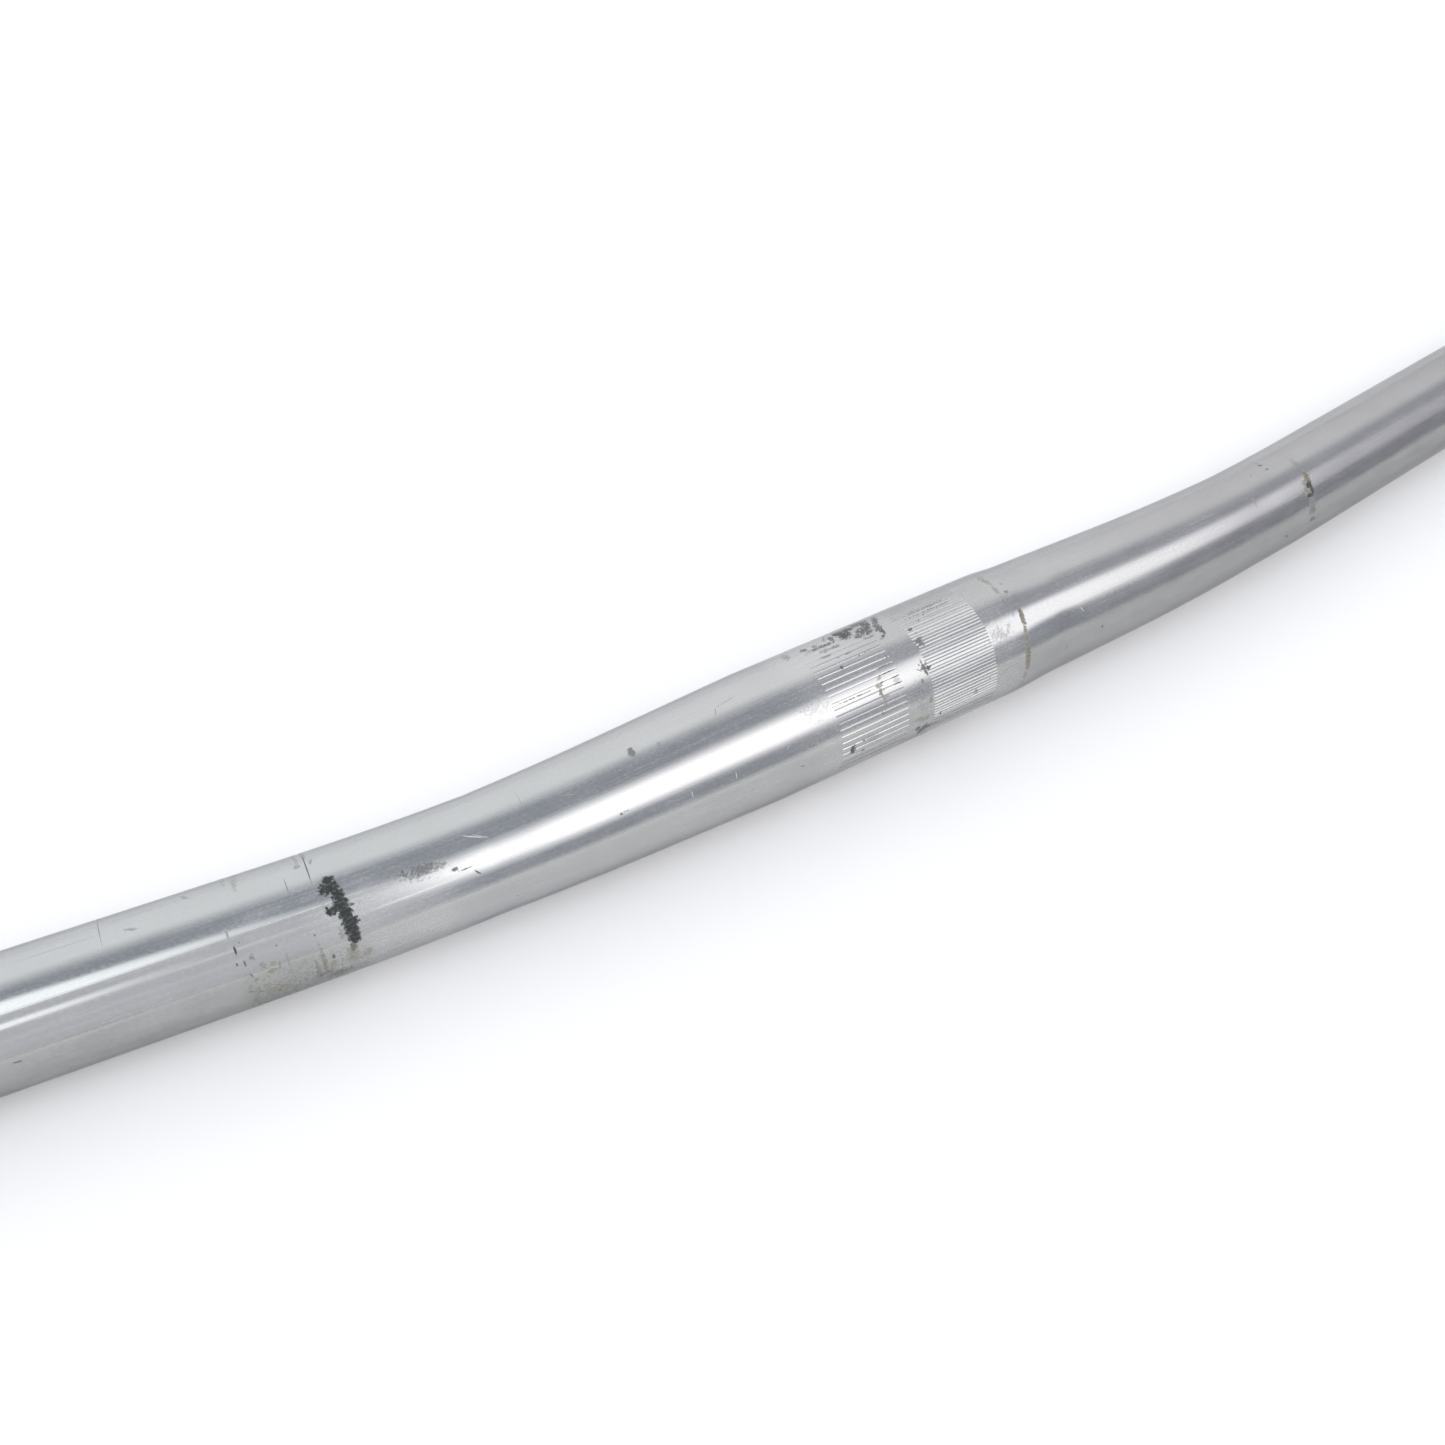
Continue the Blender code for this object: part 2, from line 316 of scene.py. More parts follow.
class Nodes:
    """A short way to build a node tree."""

    def __init__(self, tree):
        self.tree = tree
        tree.nodes.clear()

    def add(self, kind, **settings):
        """A node with its settings and, for numbered or named inputs, values or links."""
        node = self.tree.nodes.new(kind)
        inputs = settings.pop("inputs", {})
        for key, value in settings.items():
            setattr(node, key, value)
        for key, value in inputs.items():
            self.put(node.inputs[key], value)
        return node

    def put(self, socket, value):
        """A link where the value is a socket, and a plain value elsewhere."""
        if isinstance(value, bpy.types.NodeSocket):
            self.tree.links.new(value, socket)
        else:
            socket.default_value = value

    def math(self, operation, a, b=0.0, c=0.0):
        """One step of arithmetic on up to three numbers."""
        return self.add("ShaderNodeMath", operation=operation, inputs={0: a, 1: b, 2: c}).outputs[0]

    def ramp(self, value, low, high, first=0.0, last=1.0):
        """A smooth step from first to last as the value goes from low to high."""
        inputs = {"Value": value, "From Min": low, "From Max": high, "To Min": first, "To Max": last}
        node = self.add("ShaderNodeMapRange", interpolation_type="SMOOTHSTEP", inputs=inputs)
        return node.outputs["Result"]

    def mix(self, share, a, b):
        """One colour turning into another."""
        node = self.add("ShaderNodeMix", data_type="RGBA", inputs={0: share, 6: a, 7: b})
        return node.outputs[2]

    def noise(self, vector, stretch, detail=3.0, roughness=0.55, distortion=0.0):
        """A noise from 0 to 1 whose cells are finer along an axis the more that axis is stretched."""
        inputs = {"Vector": self.stretch(vector, stretch), "Scale": 1.0, "Detail": detail,
                  "Roughness": roughness, "Distortion": distortion}
        return self.add("ShaderNodeTexNoise", inputs=inputs).outputs["Fac"]

    def stretch(self, vector, scale):
        """The vector with each axis scaled by its own amount."""
        return self.add("ShaderNodeVectorMath", operation="MULTIPLY", inputs={0: vector, 1: scale}).outputs[0]


def colour(red, green, blue):
    """A full colour from its three shares of light."""
    return (red, green, blue, 1.0)


# Millimetres round the clamp in one degree of turn
DEGREE = math.radians(1) * CLAMP_RADIUS * 1000


def place_map(nodes):
    """Station and turn as lengths in millimetres on the clamp: a flat map of the tube's outside."""
    uv = nodes.add("ShaderNodeUVMap", uv_map="place").outputs[0]
    parts = nodes.add("ShaderNodeSeparateXYZ", inputs={0: uv})
    length = 2000 * HALF_LENGTH
    along = nodes.math("MULTIPLY_ADD", parts.outputs[0], length / OUTSIDE_SHARE, -length / 2)
    around = nodes.math("MULTIPLY_ADD", parts.outputs[1], 360 * DEGREE, FIRST_TURN * DEGREE)
    return nodes.add("ShaderNodeCombineXYZ", inputs={0: along, 1: around}).outputs[0]


def mark_group():
    """One mark, as a share from 0 to 1: an oval, turned by its tilt, whose edge is torn by a noise.

    The distance from the centre in half sizes, plus the noise about its middle times how torn the edge is,
    goes through a soft step near 1.
    """
    group = bpy.data.node_groups.new("mark", "ShaderNodeTree")
    for name in ("Place", "Centre", "Half"):
        group.interface.new_socket(name, in_out="INPUT", socket_type="NodeSocketVector")
    for name in ("Tilt", "Torn", "Noise"):
        group.interface.new_socket(name, in_out="INPUT", socket_type="NodeSocketFloat")
    group.interface.new_socket("Mask", in_out="OUTPUT", socket_type="NodeSocketFloat")
    nodes = Nodes(group)
    given = nodes.add("NodeGroupInput").outputs
    turned = nodes.add("ShaderNodeVectorRotate", rotation_type="Z_AXIS",
                       inputs={"Vector": given["Place"], "Center": given["Centre"], "Angle": given["Tilt"]})
    offset = nodes.add("ShaderNodeVectorMath", operation="SUBTRACT",
                       inputs={0: turned.outputs[0], 1: given["Centre"]})
    share = nodes.add("ShaderNodeVectorMath", operation="DIVIDE",
                      inputs={0: offset.outputs[0], 1: given["Half"]})
    length = nodes.add("ShaderNodeVectorMath", operation="LENGTH", inputs={0: share.outputs[0]})
    reach = length.outputs["Value"]
    tear = nodes.math("MULTIPLY", nodes.math("SUBTRACT", given["Noise"], 0.5), given["Torn"])
    mask = nodes.ramp(nodes.math("ADD", reach, tear), 0.65, 1.1, 1.0, 0.0)
    nodes.add("NodeGroupOutput", inputs={0: mask})
    return group


def marks(nodes, group, place, noise, rows, start, end):
    """The marks between two stations together, each as strong as its last number says.

    A mark reaches past its half size where its edge is torn, so those just outside are taken too.
    """
    total = None
    near = []
    for row in rows:
        reach = MARK_REACH * max(row[2:4])
        if start < row[0] + reach and row[0] - reach < end:
            near.append(row)
    if not near:
        return nodes.math("MULTIPLY", noise, 0.0)
    for station, turn, half_along, half_around, tilt, torn, strength in near:
        node = nodes.add("ShaderNodeGroup", node_tree=group)
        nodes.put(node.inputs["Place"], place)
        node.inputs["Centre"].default_value = (station, turn * DEGREE, 0)
        node.inputs["Half"].default_value = (half_along, half_around, 1)
        node.inputs["Tilt"].default_value = -math.radians(tilt)
        node.inputs["Torn"].default_value = torn
        nodes.put(node.inputs["Noise"], noise)
        mask = nodes.math("MULTIPLY", node.outputs[0], strength)
        total = mask if total is None else nodes.math("MAXIMUM", total, mask)
    return total


# How far a mark can reach from its middle, in half sizes
MARK_REACH = 1.6
# Marks on the tube, from the left to the right: station in mm, turn in degrees, half the mark's size along
# and around the tube in mm, its tilt in degrees, how torn its edge is, and how strong it is.
# The grease is nearly black: the long mark on the left bend, its specks, and spots beside the bands
GREASE = [
    (-166.9, 160, 0.8, 0.2, 10, 2, 0.6), (-150.5, 64, 0.09, 5.9, 0, 0.6, 0.5),
    (-132.3, 141.5, 0.2, 0.4, 0, 1.5, 0.8), (-131.9, 130, 0.22, 1.0, 0, 1.5, 0.95),
    (-131.1, 143, 0.2, 0.7, 0, 1.5, 0.7), (-131.0, 124.6, 0.16, 0.25, 0, 1.5, 0.7),
    (-130.7, 155, 0.18, 0.7, -15, 1.5, 0.5), (-125.7, 137, 0.15, 0.2, 0, 1, 0.6),
    (-121.3, 90, 0.1, 2.2, 0, 1, 0.5), (-119.6, 139.5, 0.25, 0.25, 0, 1.5, 0.6),
    (-119.5, 183, 1.5, 0.6, 0, 5, 0.45), (-117.7, 165, 0.3, 0.7, 0, 2, 0.7),
    (-117.3, 76, 0.13, 4.8, 1.5, 0.9, 0.75), (-117.3, 190, 2.2, 1.0, 0, 5, 0.5),
    (-115.8, 124.5, 1.2, 1.1, 0, 2.2, 1.0), (-115.7, 105.5, 1.4, 1.5, -20, 2.2, 1.0),
    (-114.8, 98.5, 1.1, 1.2, 0, 1.8, 1.0), (-114.6, 105, 1.3, 1.9, 0, 1.8, 1.0),
    (-114.2, 113, 1.25, 1.9, 0, 1.6, 1.0), (-114.2, 162, 0.6, 1.4, 0, 3.0, 0.55),
    (-114.1, 122, 1.5, 2.0, 0, 1.6, 1.0), (-114.0, 131, 1.4, 1.7, 0, 1.6, 1.0),
    (-113.8, 145, 1.4, 1.7, 0, 1.8, 1.0), (-113.7, 153, 1.15, 1.7, 0, 1.6, 1.0),
    (-113.7, 138, 1.5, 1.6, 0, 1.8, 1.0), (-112.7, 140, 0.8, 0.35, 0, 1.8, 0.9),
    (-112.6, 125, 0.5, 0.3, 0, 2.0, 0.8), (-111.4, 125, 0.35, 0.35, 0, 2.0, 0.3),
    (-103.2, 113.5, 0.3, 0.6, 0, 2, 0.6), (-95.0, 127.5, 0.7, 0.4, 0, 4, 0.7),
    (-93.2, 130.6, 1.3, 0.16, 0, 4, 0.6), (-91.5, 137.4, 0.8, 0.2, 52, 1.2, 0.75),
    (-64.7, 137.6, 0.35, 0.35, 0, 2.5, 0.6), (-63.7, 136.8, 0.7, 0.12, 0, 3, 0.5),
    (-50.3, 106, 0.12, 0.3, 0, 1, 0.4), (-40.0, 89, 0.09, 0.95, 25, 0.8, 0.55),
    (-37.0, 83.6, 2.6, 0.07, -7, 1.5, 0.45), (-28.0, 164.7, 0.6, 0.13, 8, 1, 0.5),
    (-16.5, 172, 0.75, 1.1, 0, 2.5, 0.85), (-13.9, 167, 0.22, 0.35, 0, 1, 0.7),
    (-13.9, 178.5, 0.4, 0.4, 0, 2, 0.6), (-13.2, 99, 0.4, 0.5, 20, 1.2, 0.75),
    (-12.4, 88.6, 0.22, 0.18, 0, 1, 0.55), (-10.0, 88.6, 1.1, 0.14, 0, 4, 0.6),
    (-8.5, 95, 0.35, 0.16, -10, 1, 0.65), (-7.3, 124.6, 0.7, 0.14, 0, 1.5, 0.8),
    (-7.0, 94.7, 0.2, 0.14, 0, 1, 0.6), (-6.2, 94.8, 0.15, 0.14, 0, 1, 0.6),
    (-5.4, 118.6, 2.4, 0.13, 0, 2, 0.85), (-5.2, 112.5, 1.9, 0.12, 0, 3, 0.75),
    (-4.2, 124.6, 1.4, 0.13, 0, 1.2, 0.85), (-4.1, 130.6, 1.1, 0.12, 0, 1, 0.85),
    (-3.7, 106, 0.22, 0.4, 0, 1, 0.6), (-3.5, 93.6, 0.2, 0.15, 0, 1, 0.5),
    (-1.4, 86, 0.4, 0.35, 0, 2.5, 0.7), (-0.5, 81, 0.35, 1.0, 15, 2.0, 0.8),
    (-0.4, 184.5, 0.8, 0.7, 30, 1.5, 0.75), (0.9, 190, 1.0, 2.0, 25, 1.5, 0.75),
    (1.2, 138, 0.4, 0.55, 0, 1, 0.6), (2.0, 188, 1.5, 0.8, 0, 1.5, 0.75),
    (2.4, 128, 0.9, 1.1, 30, 5.5, 0.75), (2.4, 122.5, 0.2, 0.6, 0, 2, 0.6),
    (2.7, 132.5, 0.25, 0.8, 0, 2, 0.8), (3.5, 129, 0.9, 0.3, -12, 2.5, 0.85),
    (4.2, 105.5, 0.9, 1.1, 0, 6.5, 0.65), (4.3, 91, 0.5, 0.45, 0, 3, 0.7),
    (4.4, 188.5, 0.9, 0.35, 0, 3, 0.4), (4.8, 97, 0.12, 0.35, 0, 1, 0.5),
    (4.8, 176.5, 0.25, 0.6, -15, 1, 0.6), (7.3, 86, 0.25, 0.22, 0, 1, 0.5),
    (9.2, 81.8, 0.3, 0.22, -20, 1, 0.55), (17.0, 162, 0.2, 0.2, 0, 1, 0.4),
    (47.5, 165, 0.2, 0.5, 0, 1, 0.7), (62.0, 112, 0.12, 0.15, 0, 1, 0.4), (102.4, 82, 0.3, 0.3, 0, 1, 0.4),
    (104.6, 172.5, 0.65, 0.35, 50, 1.5, 0.5), (107.1, 85, 0.4, 0.4, 0, 1.8, 0.6),
    (107.2, 75, 0.6, 0.5, 20, 2.2, 0.65), (113.1, 138, 1.3, 0.6, 8, 1.4, 0.85),
    (113.4, 169, 0.9, 0.65, 10, 2.0, 0.5), (113.7, 126.5, 1.1, 0.9, -20, 1.4, 0.9),
    (114.05, 133, 0.6, 1.6, 0, 1.4, 0.9),
]
# The dried dirt is brown: the ring beside the fine band, and patches on the left bend and the clamp
EARTH = [
    (-132.3, 115, 0.22, 1.0, 0, 2.5, 0.6), (-131.5, 168, 0.3, 1.2, 15, 3, 0.45),
    (-131.3, 193, 0.5, 2.4, 0, 4, 0.6), (-130.7, 174.5, 1.6, 0.4, 32, 3, 0.6),
    (-130.2, 161, 0.4, 0.4, 0, 3, 0.5), (-129.8, 140, 0.45, 0.6, 10, 3, 0.7),
    (-129.5, 195, 0.4, 1.6, 0, 4, 0.5), (-129.0, 66, 0.5, 2.6, 3, 3, 0.35),
    (-128.8, 52, 0.9, 4.0, 0, 3, 0.22), (-128.5, 150.5, 0.5, 0.8, 0, 4, 0.6),
    (-128.3, 162, 0.18, 0.6, -15, 2, 0.5), (-127.5, 157.5, 0.9, 0.45, 0, 3, 0.75),
    (-127, 151, 0.5, 0.5, 0, 4, 0.5), (-126.5, 183, 2.4, 1.2, 20, 4.5, 0.5),
    (-126.1, 155, 0.2, 0.9, 10, 2, 0.6), (-119.2, 171, 0.4, 2.6, 0, 3.5, 0.45),
    (-118.0, 173, 0.7, 0.9, 0, 3.5, 0.5), (-116.9, 120, 0.4, 1.0, 0, 4, 0.4),
    (-115.6, 146, 0.35, 1.4, 0, 3, 0.6), (-115.5, 97, 0.9, 1.0, 0, 4, 0.6),
    (-114.6, 170, 1.0, 2.2, 0, 4, 0.5), (-112.3, 174, 0.8, 1.2, 30, 3.5, 0.45),
    (-9.0, 150, 0.4, 0.5, 0, 3.5, 0.7), (-8.4, 146, 0.35, 0.6, 0, 3.5, 0.6),
    (-8.2, 132, 0.5, 1.2, 0, 5.5, 0.75), (-8.0, 126.5, 0.8, 0.5, 0, 5, 0.7),
    (-7.8, 141, 0.35, 0.9, 0, 4.5, 0.6), (-7.4, 121, 0.5, 0.5, 0, 5, 0.5),
    (-7.2, 137.6, 0.9, 0.2, 0, 3, 0.7), (-1.9, 88, 0.7, 0.35, -30, 3, 0.5),
    (0.5, 173.5, 2.4, 0.8, 10, 4, 0.5), (2.3, 157, 0.5, 0.85, 0, 3, 0.65),
    (3.3, 109.3, 0.6, 0.35, 0, 3, 0.7), (26.2, 190, 0.45, 1.2, 5, 2.4, 0.4),
    (26.3, 88, 0.5, 1.4, 0, 2.6, 0.45), (26.4, 72, 0.5, 2.4, -6, 2.6, 0.5),
    (26.5, 178, 0.6, 1.0, 0, 2.2, 0.55), (26.8, 168, 0.65, 1.1, 0, 2.2, 0.7),
    (26.85, 160.5, 0.75, 2.5, 4, 2.0, 0.85), (26.9, 152, 0.6, 1.4, 0, 2.0, 0.85),
    (26.9, 64, 0.4, 1.3, -10, 2.6, 0.35), (27.2, 145, 0.25, 1.2, 0, 2.4, 0.5),
    (27.3, 137, 0.42, 2.1, 5, 2.2, 0.8), (27.8, 122.5, 0.6, 2.2, 8, 2.0, 0.9),
    (27.9, 94.8, 0.5, 0.5, 0, 2.4, 0.7), (28.0, 114.5, 0.6, 0.5, 0, 2.4, 0.7),
    (28.4, 85, 0.4, 0.4, 0, 2.4, 0.3), (112.3, 132.5, 1.0, 1.7, 0, 2.0, 0.7),
    (112.8, 122.5, 0.8, 1.2, 0, 2.4, 0.6), (113.2, 158, 1.4, 0.9, 0, 2.4, 0.5),
    (114.1, 119.5, 0.95, 1.5, 0, 2.0, 0.9), (114.3, 114.5, 0.9, 1.1, 0, 2.0, 0.85),
]
# The stains are grey and soft
STAIN = [
    (-156.5, 76, 8.6, 0.07, 0.3, 1.2, 0.4), (-145.8, 82, 1.4, 0.3, 25, 3.5, 0.5),
    (-136.9, 62, 0.35, 1.3, -25, 3, 0.5), (-130.6, 50, 0.5, 3.5, 0, 2.5, 0.25),
    (-124.6, 152, 0.14, 2.2, 0, 1.5, 0.4), (-120.6, 170, 0.3, 2.2, 0, 2.5, 0.5),
    (-120.5, 180, 0.45, 3.6, 0, 3, 0.5), (-119.3, 166, 0.35, 3.6, 0, 3, 0.45),
    (-118.7, 72, 0.5, 0.7, 20, 3, 0.5), (-118.5, 58, 0.35, 4.2, 0, 2.5, 0.28),
    (-117.5, 196, 1.1, 1.2, 0, 3, 0.8), (-117.1, 50, 0.4, 3.4, 0, 2, 0.5),
    (-116.3, 71, 0.35, 0.8, 20, 3, 0.5), (-108.0, 61, 0.1, 0.8, 0, 1, 0.2),
    (-100.4, 117.5, 3.2, 1.6, 0, 5, 0.5), (-94.2, 105, 0.22, 1.3, -25, 1.5, 0.4),
    (-85.9, 177, 0.25, 0.3, 0, 1, 0.4), (-80.0, 88, 0.08, 2.2, 0, 1, 0.3),
    (-58.0, 91, 0.7, 1.35, 8, 1.2, 0.85), (-53.0, 98, 0.5, 1.2, 20, 4, 0.35),
    (-33.0, 109, 1.6, 0.35, 25, 4, 0.3), (-26.2, 147, 2.4, 0.8, 0, 4, 0.6),
    (-20.2, 60, 0.8, 1.9, 8, 2.5, 0.5), (-4.1, 127.6, 0.9, 0.55, 0, 1.5, 0.35),
    (13.5, 170, 0.7, 0.5, 10, 3, 0.5), (21.0, 113.5, 2.4, 0.14, -24, 2.5, 0.45),
    (26.1, 110, 0.3, 2.6, 0, 3, 0.3), (26.2, 106, 0.14, 2.4, 0, 2, 0.45), (37.5, 169, 0.12, 0.9, 0, 1, 0.4),
    (97.0, 111, 0.5, 2.2, 0, 2.5, 0.35), (107.5, 64, 0.22, 2.4, 6, 1.5, 0.4),
    (113.0, 148, 1.0, 2.4, 0, 3, 0.35), (113.2, 145, 1.4, 3.0, 0, 2, 0.22),
    (114.4, 100, 0.8, 3.6, 0, 2.5, 0.22),
]
# The scratches are thin and bright
SCRATCH = [
    (-120.0, 117.3, 14.0, 0.1, 0, 1.2, 0.35), (-90.2, 106, 2.4, 0.12, 32, 1.5, 0.7),
    (-89.0, 108, 1.6, 0.1, 36, 1.5, 0.5), (-72.0, 104, 1.5, 0.06, 20, 1, 0.4),
    (-51.0, 147, 0.08, 0.9, 0, 1, 0.6), (-41.8, 147, 0.08, 0.9, 5, 1, 0.6),
    (-30.4, 143, 0.5, 0.06, -60, 1, 0.6), (-24.5, 128, 1.2, 0.08, 40, 1, 0.5),
    (8.0, 112.2, 4, 0.08, 0, 2, 0.3), (20.3, 118.5, 1.3, 0.6, -35, 3, 0.4),
    (42.6, 138, 0.7, 0.1, 62, 1, 0.7), (66.0, 128.0, 0.8, 0.06, 30, 1, 0.4),
    (81.0, 119.4, 1.2, 0.07, -20, 1, 0.6), (83.2, 121, 4.2, 0.09, 1, 1.5, 0.9),
]
# Where the metal was rubbed, dark strokes run over it: most of all above the coarse band
RUBBED = [
    (-104.5, 114, 1.2, 1.0, 0, 3.5, 0.5), (-100.4, 117.5, 3.2, 1.2, 0, 3.0, 0.6),
    (-97.3, 120, 1.4, 0.8, 0, 4.0, 0.5), (-22.5, 125, 3.2, 1.6, 0, 6.5, 0.2),
    (-21.5, 146, 1.5, 0.8, 0, 4.5, 0.5), (-16.3, 61.5, 0.9, 0.9, 0, 2.2, 0.8),
    (-14.2, 82.5, 1.5, 0.4, 0, 3.0, 0.45), (-14.2, 127, 4.6, 0.16, 0, 4.0, 0.6),
    (-13.9, 63, 1.0, 0.6, -30, 2.8, 0.6), (-13.2, 75, 1.4, 0.7, 0, 3.0, 0.45),
    (-13.0, 68, 3.9, 0.55, 0, 2.8, 0.85), (-12.0, 168, 2.0, 1.0, 0, 6.0, 0.3),
    (-11.0, 75.5, 1.2, 0.55, 0, 2.8, 0.55), (-10.6, 55, 0.3, 2.0, 30, 2.4, 0.6),
    (-9.8, 61, 0.6, 1.5, 20, 2.4, 0.85), (-7.6, 57, 1.3, 1.5, 0, 2.0, 1.0),
    (-6.9, 62.5, 1.6, 2.7, 25, 1.8, 1.0), (-5.2, 56.5, 1.3, 1.3, 20, 2.2, 0.95),
    (-5.0, 75, 1.5, 0.8, 0, 2.6, 0.8), (-3.9, 81, 1.5, 0.4, 0, 3.0, 0.5),
    (-3.4, 71, 1.9, 1.9, 0, 2.4, 0.85), (-2.6, 54, 1.7, 1.2, 0, 2.6, 0.85),
    (-1.7, 62, 1.1, 3.2, 20, 2.2, 0.9), (-0.7, 74, 0.9, 2.0, 15, 2.8, 0.8),
    (0.5, 63, 0.7, 3.0, 30, 2.8, 0.8), (0.6, 150, 2.0, 3.0, 0, 6.5, 0.2), (1.4, 56, 0.4, 1.6, 20, 3.0, 0.5),
    (9.5, 74, 6.0, 0.3, 0, 6.5, 0.4), (12.0, 79, 5.0, 0.25, 0, 6.0, 0.45),
    (21.5, 128, 2.6, 1.3, 0, 6.0, 0.35),
]


def between(nodes, along, start, end, soft):
    """One between two stations, falling off softly outside them."""
    share = nodes.ramp(along, start - soft, start + soft)
    return nodes.math("MULTIPLY", share, nodes.ramp(along, end - soft, end + soft, 1.0, 0.0))


# The metal at the left and in the middle, a painted shade at the right, a painted sheen over the back, a
# painted shade below, and the metal on top of the clamp
LEFT_METAL = colour(0.484, 0.498, 0.504)
METAL = colour(0.500, 0.500, 0.500)
RIGHT_PAINTED_SHADE = colour(0.468, 0.465, 0.468)
BACK_PAINTED_SHEEN = colour(0.60, 0.60, 0.60)
UNDER_PAINTED_SHADE = colour(0.275, 0.277, 0.270)
TOP_METAL = colour(0.39, 0.39, 0.39)
# What lies on it: clouds, fine lines, the film, and the marks
CLOUDY = colour(0.42, 0.425, 0.43)
LINES = colour(0.60, 0.60, 0.60)
FILM = colour(0.70, 0.70, 0.69)
SCRATCHED = colour(0.75, 0.75, 0.75)
STAINED = colour(0.17, 0.175, 0.185)
RUBBED_METAL = colour(0.098, 0.104, 0.104)
GRIMY = colour(0.20, 0.205, 0.165)
DIRT = (colour(0.17, 0.155, 0.105), colour(0.29, 0.265, 0.21))
BLACK_GREASE = (colour(0.042, 0.047, 0.047), colour(0.095, 0.102, 0.100))
# The slant of the rubbed strokes in radians, and the height of the finest roughness in metres
RUB_SLANT = -0.63
FINE_HEIGHT = 0.0000005


def metal_with_painted_light(nodes, along, turn):
    """The metal, a little blue on the left and a little darker on the right, which is painted shade.

    It is brighter over the back, which is a painted sheen, and darker below, which is painted shade for the
    shadowed floor that it reflects, and darker on top of the clamp. The painted shade below is kept off the
    groove walls, so they stay bright.
    """
    shade = nodes.mix(nodes.ramp(along, -120, -20), LEFT_METAL, METAL)
    # painted shade: the metal turns a little darker towards the right
    shade = nodes.mix(nodes.ramp(along, 20, 100), shade, RIGHT_PAINTED_SHADE)
    # painted sheen: the metal is brighter over the back
    shade = nodes.mix(nodes.ramp(turn, 68, 54, 0.0, 0.7), shade, BACK_PAINTED_SHEEN)
    # painted shade below, for the shadowed floor that the underside reflects, stronger to the right and at
    # the lower left
    under = nodes.ramp(turn, 160, 200, 1.0, 0.1)
    under = nodes.math("MULTIPLY", under, nodes.ramp(along, -60, 30, 0.62, 1.0))
    low_left = nodes.math("MULTIPLY", nodes.ramp(along, -80, -120), nodes.ramp(turn, 182, 200, 0.9, 0.36))
    lower = nodes.math("ADD", turn, nodes.ramp(along, 5, 25, 0.0, 4.0))
    under = nodes.math("MULTIPLY", nodes.math("MAXIMUM", under, low_left), nodes.ramp(lower, 146, 160))
    # the painted shade below is kept off the walls of the grooves
    wall = nodes.add("ShaderNodeAttribute", attribute_type="GEOMETRY", attribute_name="wall").outputs["Fac"]
    under = nodes.math("MULTIPLY", under, nodes.ramp(wall, 0.0, 1.0, 1.0, 0.15))
    shade = nodes.mix(under, shade, UNDER_PAINTED_SHADE)
    top = nodes.math("MULTIPLY", between(nodes, along, -8, 27, 6), nodes.ramp(turn, 100, 88))
    return nodes.mix(nodes.math("MULTIPLY", top, 0.8), shade, TOP_METAL)


def film_share(nodes, place, along, turn, cloud, fleck):
    """How much the cloudy film hides: more at the clamp, where the grip ended and along fine drawn lines.

    There is a haze on the dark reflection beside the grease mark.
    """
    film = nodes.math("MULTIPLY_ADD", nodes.ramp(cloud, 0.35, 0.7), 0.06, 0.04)
    film = nodes.math("ADD", film, nodes.ramp(fleck, 0.42, 0.66, 0.0, 0.10))
    film = nodes.math("MULTIPLY_ADD", between(nodes, along, -24, 26, 4), 0.12, film)
    dull = nodes.math("MULTIPLY", between(nodes, along, -119, -97, 3), nodes.ramp(turn, 110, 123))
    film = nodes.math("MULTIPLY_ADD", dull, 0.12, film)
    drawn = nodes.noise(place, (0.03, 3.0, 1.0), 3.0, 0.65)
    film = nodes.math("ADD", film, nodes.ramp(drawn, 0.45, 0.70, 0.0, 0.12))
    haze = nodes.math("MULTIPLY", between(nodes, along, -132, -104, 6), nodes.ramp(turn, 99, 107))
    haze = nodes.math("MULTIPLY", haze, nodes.ramp(turn, 112, 120, 1.0, 0.0))
    return nodes.math("MULTIPLY_ADD", haze, nodes.ramp(cloud, 0.38, 0.62, 0.04, 0.15), film)


